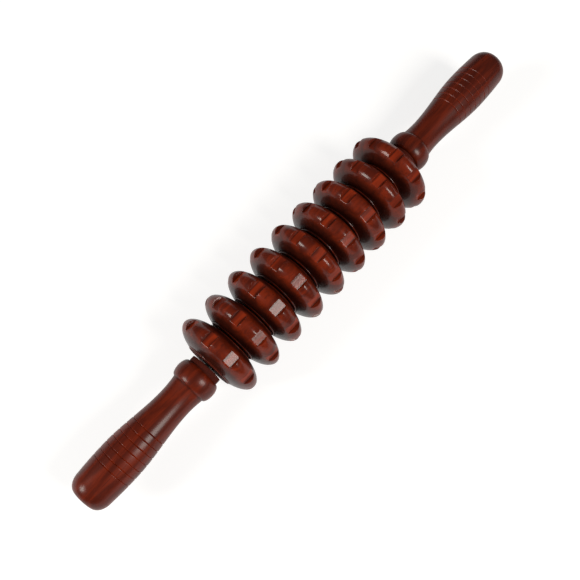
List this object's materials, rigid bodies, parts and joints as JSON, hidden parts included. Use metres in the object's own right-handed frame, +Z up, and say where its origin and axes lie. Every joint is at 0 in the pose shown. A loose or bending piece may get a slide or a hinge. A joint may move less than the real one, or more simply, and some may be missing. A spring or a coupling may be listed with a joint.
{
  "type": "wooden roller massager",
  "caption": "Hand-held wooden massage stick: a row of notched wooden wheels that turn freely on a steel rod between two turned handles with grooved grips",
  "frame": {"origin": "bottom centre of the bounding box, on the table under the middle wheel", "axes": "+X along the rod from the left handle to the right handle, +Z up"},
  "size_m": [0.403, 0.06, 0.06],
  "materials": {
    "wheel_wood": "gloss lacquer over red-brown stain",
    "handle_wood": "satin lacquer over red-brown stain",
    "rod_steel": "drawn",
    "washer_fibre": "matte"
  },
  "bodies": {
    "frame": {"handle_left": "handle_wood", "handle_right": "handle_wood", "axle": "rod_steel", "washer_1": "washer_fibre", "washer_2": "washer_fibre", "washer_3": "washer_fibre", "washer_4": "washer_fibre", "washer_5": "washer_fibre", "washer_6": "washer_fibre", "washer_7": "washer_fibre", "washer_8": "washer_fibre"},
    "roller_1": {"wheel_1": "wheel_wood"},
    "roller_2": {"wheel_2": "wheel_wood"},
    "roller_3": {"wheel_3": "wheel_wood"},
    "roller_4": {"wheel_4": "wheel_wood"},
    "roller_5": {"wheel_5": "wheel_wood"},
    "roller_6": {"wheel_6": "wheel_wood"},
    "roller_7": {"wheel_7": "wheel_wood"},
    "roller_8": {"wheel_8": "wheel_wood"},
    "roller_9": {"wheel_9": "wheel_wood"}
  },
  "joints": [
    {"name": "wheel_1_spin", "type": "hinge", "parent": "frame", "child": "roller_1", "pos_m": [-0.084, 0, 0.02999], "axis": [1, 0, 0], "continuous": true},
    {"name": "wheel_2_spin", "type": "hinge", "parent": "frame", "child": "roller_2", "pos_m": [-0.063, 0, 0.02999], "axis": [1, 0, 0], "continuous": true},
    {"name": "wheel_3_spin", "type": "hinge", "parent": "frame", "child": "roller_3", "pos_m": [-0.042, 0, 0.02999], "axis": [1, 0, 0], "continuous": true},
    {"name": "wheel_4_spin", "type": "hinge", "parent": "frame", "child": "roller_4", "pos_m": [-0.021, 0, 0.02999], "axis": [1, 0, 0], "continuous": true},
    {"name": "wheel_5_spin", "type": "hinge", "parent": "frame", "child": "roller_5", "pos_m": [0, 0, 0.02999], "axis": [1, 0, 0], "continuous": true},
    {"name": "wheel_6_spin", "type": "hinge", "parent": "frame", "child": "roller_6", "pos_m": [0.021, 0, 0.02999], "axis": [1, 0, 0], "continuous": true},
    {"name": "wheel_7_spin", "type": "hinge", "parent": "frame", "child": "roller_7", "pos_m": [0.042, 0, 0.02999], "axis": [1, 0, 0], "continuous": true},
    {"name": "wheel_8_spin", "type": "hinge", "parent": "frame", "child": "roller_8", "pos_m": [0.063, 0, 0.02999], "axis": [1, 0, 0], "continuous": true},
    {"name": "wheel_9_spin", "type": "hinge", "parent": "frame", "child": "roller_9", "pos_m": [0.084, 0, 0.02999], "axis": [1, 0, 0], "continuous": true}
  ]
}
